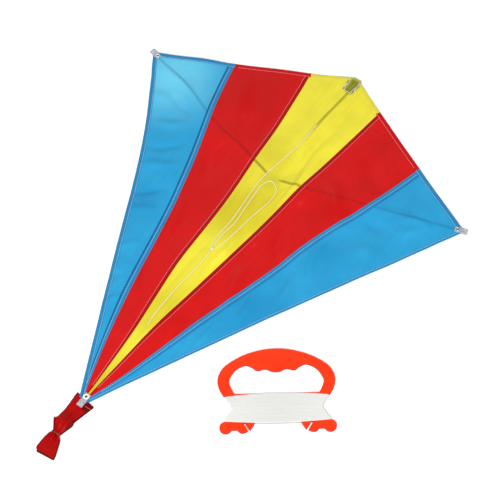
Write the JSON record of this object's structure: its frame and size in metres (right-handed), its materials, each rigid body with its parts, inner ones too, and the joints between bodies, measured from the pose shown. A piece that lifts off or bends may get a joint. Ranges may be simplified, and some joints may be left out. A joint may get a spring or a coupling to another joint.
{
  "type": "diamond kite",
  "caption": "Diamond kite with a five-gore radiating sail, folding spars, two-leg bridle with tow loop, bundled ribbon tail and a D-grip winder with its flying line.",
  "frame": {"origin": "On the floor under the crossing of the spars, at the flat underside of the cross joint", "axes": "+Y runs along the spine to the nose, +X to the right wing tip seen from the front face, +Z out of the sail's front face"},
  "size_m": [0.5514, 0.717, 0.0111],
  "materials": {
    "blue_cloth": "satin",
    "red_cloth": "satin",
    "yellow_cloth": "satin",
    "rod": "satin",
    "joint_rubber": "matte",
    "clear_vinyl": "gloss",
    "eyelet_metal": "satin",
    "tail_eyelet_metal": "satin",
    "line": "matte",
    "tail_cloth": "satin",
    "band_rubber": "matte",
    "winder_plastic": "satin",
    "flying_line": "matte"
  },
  "bodies": {
    "frame": {"spine_casing": "yellow_cloth", "spine_rod": "rod", "cross_joint": "joint_rubber", "nose_pocket": "clear_vinyl", "tail_tube": "clear_vinyl", "tail_eyelet": "tail_eyelet_metal", "tail_washer": "tail_eyelet_metal", "upper_bridle_tie": "line", "lower_bridle_tie": "line", "upper_bridle_leg": "line", "lower_bridle_leg": "line", "bridle_knot": "line"},
    "left_wing": {"left_yellow_gore": "yellow_cloth", "left_red_gore": "red_cloth", "left_blue_gore": "blue_cloth", "left_spreader_rod": "rod", "left_joint_arm": "joint_rubber", "left_tip_tube": "clear_vinyl", "left_tip_eyelet": "eyelet_metal", "left_tip_washer": "eyelet_metal"},
    "right_wing": {"right_yellow_gore": "yellow_cloth", "right_red_gore": "red_cloth", "right_blue_gore": "blue_cloth", "right_spreader_rod": "rod", "right_joint_arm": "joint_rubber", "right_tip_tube": "clear_vinyl", "right_tip_eyelet": "eyelet_metal", "right_tip_washer": "eyelet_metal"},
    "bridle_loop": {"tow_loop": "line"},
    "tail": {"tail_ribbon": "tail_cloth", "tail_bow": "tail_cloth", "tail_band": "band_rubber", "tail_tie": "line"},
    "winder": {"winder_plate": "winder_plastic", "wound_line": "flying_line"}
  },
  "joints": [
    {"name": "left_wing_fold", "type": "hinge", "parent": "frame", "child": "left_wing", "pos_m": [-0.007, 0, 0.0062], "axis": [0, -1, 0], "range_deg": [0, 90]},
    {"name": "right_wing_fold", "type": "hinge", "parent": "frame", "child": "right_wing", "pos_m": [0.007, 0, 0.0062], "axis": [0, 1, 0], "range_deg": [0, 90]},
    {"name": "tow_loop_swing", "type": "hinge", "parent": "frame", "child": "bridle_loop", "pos_m": [0, -0.14, 0.0089], "axis": [1, 0, 0], "range_deg": [0, 120]},
    {"name": "tail_swing", "type": "hinge", "parent": "frame", "child": "tail", "pos_m": [0, -0.4135, 0.001], "axis": [0, 0, 1], "range_deg": [-30, 30]},
    {"name": "winder_lift", "type": "slide", "parent": "frame", "child": "winder", "axis": [0, 0, 1], "range_m": [0, 0.25]}
  ]
}
